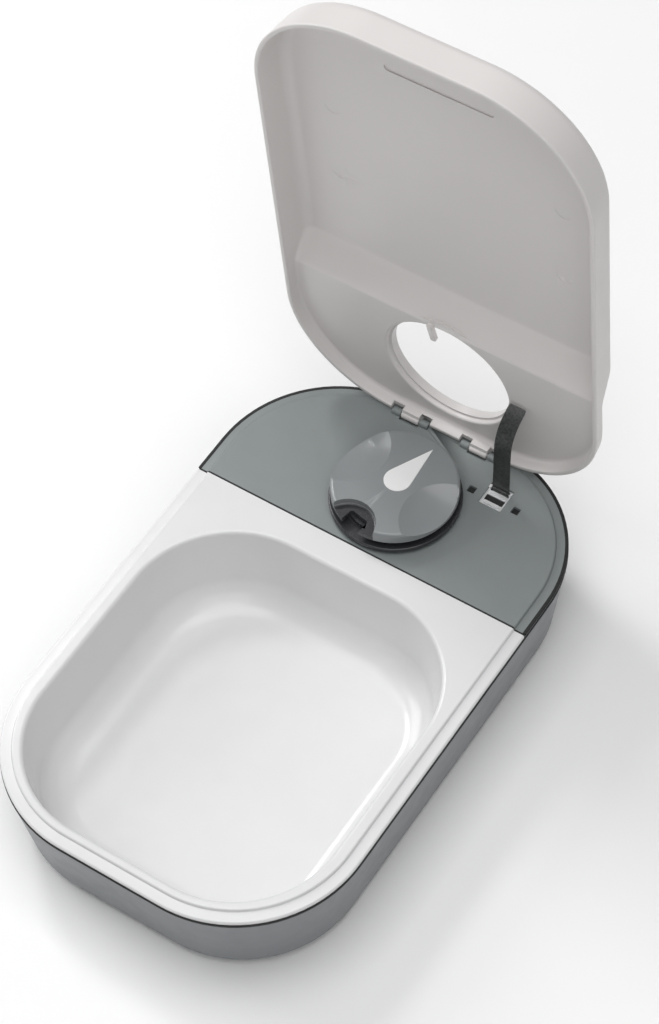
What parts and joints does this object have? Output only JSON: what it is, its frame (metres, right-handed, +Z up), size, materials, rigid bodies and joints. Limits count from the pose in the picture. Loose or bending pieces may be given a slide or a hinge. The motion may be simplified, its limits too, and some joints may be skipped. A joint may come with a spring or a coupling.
{
  "type": "automatic pet feeder",
  "caption": "Single-meal automatic pet feeder: white lift-out bowl in a grey base, rotary timer dial, and a sprung lid that swings open at the set time.",
  "frame": {"origin": "on the ground, under the middle of the base", "axes": "+Z up, +X to the right seen from the bowl end, +Y towards the hinge"},
  "size_m": [0.1906, 0.306, 0.3403],
  "materials": {
    "skirt_plastic": "satin grey moulding",
    "seal_rubber": "black soft seal",
    "foot_rubber": "black moulded rubber",
    "bowl_plastic": "glossy white moulding",
    "deck_plastic": "semi-gloss grey moulding",
    "screw_steel": "zinc-plated steel",
    "pin_steel": "drawn steel",
    "lid_plastic": "white moulding",
    "dial_plastic": "smoked grey gloss moulding",
    "pointer_plastic": "white inlay",
    "shaft_steel": "ground steel",
    "bush_brass": "turned brass",
    "gear_plastic": "natural acetal",
    "spring_steel": "spring steel",
    "magnet": "sintered magnet",
    "stator_iron": "laminated iron",
    "bobbin_plastic": "black nylon",
    "copper_wire": "enamelled copper wire",
    "board": "green circuit board",
    "crystal_can": "plated can",
    "movement_plastic": "pale grey moulding",
    "cell_wrap": "plain blue cell wrap",
    "contact_metal": "nickel-plated strip",
    "clip_metal": "bright spring clip",
    "leaf_plastic": "black coated spring strip"
  },
  "bodies": {
    "base": {"base_tub": "skirt_plastic", "rim_seal": "seal_rubber", "rubber_feet": "foot_rubber", "control_deck": "deck_plastic", "deck_screws": "screw_steel", "hinge_pins": "pin_steel", "shaft_bush": "bush_brass", "wheel_arbors": "shaft_steel", "stator": "stator_iron", "coil_bobbin": "bobbin_plastic", "coil_winding": "copper_wire", "circuit_board": "board", "quartz_crystal": "crystal_can", "movement_case": "movement_plastic", "movement_cover": "movement_plastic", "movement_screws": "screw_steel", "battery_cell": "cell_wrap", "battery_spring": "contact_metal", "battery_plate": "contact_metal", "battery_cover": "skirt_plastic", "battery_cover_screw": "screw_steel", "spring_clip": "clip_metal"},
    "bowl": {"bowl": "bowl_plastic"},
    "lid": {"lid": "lid_plastic"},
    "dial": {"dial_knob": "dial_plastic", "dial_pointer": "pointer_plastic", "dial_shaft": "shaft_steel", "output_wheel": "gear_plastic", "clutch_spring": "spring_steel", "shaft_clip": "spring_steel"},
    "third_wheel": {"third_wheel": "gear_plastic"},
    "second_wheel": {"second_wheel": "gear_plastic"},
    "rotor": {"rotor_pinion": "gear_plastic", "rotor_magnet": "magnet"},
    "leaf_lower": {"leaf_spring_lower": "leaf_plastic"},
    "leaf_upper": {"leaf_spring_upper": "leaf_plastic"}
  },
  "joints": [
    {"name": "lid_hinge", "type": "hinge", "parent": "base", "child": "lid", "pos_m": [0, 0.141, 0.0563], "axis": [1, 0, 0], "range_deg": [0, 86.8], "stiffness_Nm_per_rad": 0.12, "springref_deg": -51.57},
    {"name": "leaf_foot", "type": "hinge", "parent": "base", "child": "leaf_lower", "pos_m": [0.0415, 0.1265, 0.0554], "axis": [1, 0, 0], "range_deg": [0, 87.31]},
    {"name": "leaf_bend", "type": "hinge", "parent": "leaf_lower", "child": "leaf_upper", "pos_m": [0.0415, 0.12868, 0.09314], "axis": [1, 0, 0], "range_deg": [0, 53.71]},
    {"name": "dial_turn", "type": "hinge", "parent": "base", "child": "dial", "pos_m": [0, 0.0955, 0.06], "axis": [0, 0, 1], "continuous": true},
    {"name": "third_spin", "type": "hinge", "parent": "base", "child": "third_wheel", "pos_m": [0.02312, 0.08709, 0.015], "axis": [0, 0, 1], "continuous": true},
    {"name": "second_spin", "type": "hinge", "parent": "base", "child": "second_wheel", "pos_m": [0.02158, 0.10462, 0.012], "axis": [0, 0, 1], "continuous": true},
    {"name": "rotor_spin", "type": "hinge", "parent": "base", "child": "rotor", "pos_m": [0.0077, 0.10217, 0.012], "axis": [0, 0, 1], "continuous": true},
    {"name": "bowl_lift", "type": "slide", "parent": "base", "child": "bowl", "axis": [0, 0, 1], "range_m": [0, 0.09]}
  ],
  "couplings": [
    {"joint": "leaf_foot", "follows": "lid_hinge", "ratio": 1.0058},
    {"joint": "leaf_bend", "follows": "lid_hinge", "ratio": 0.61866},
    {"joint": "third_spin", "follows": "dial_turn", "ratio": -4},
    {"joint": "second_spin", "follows": "dial_turn", "ratio": 16},
    {"joint": "rotor_spin", "follows": "dial_turn", "ratio": -64}
  ]
}
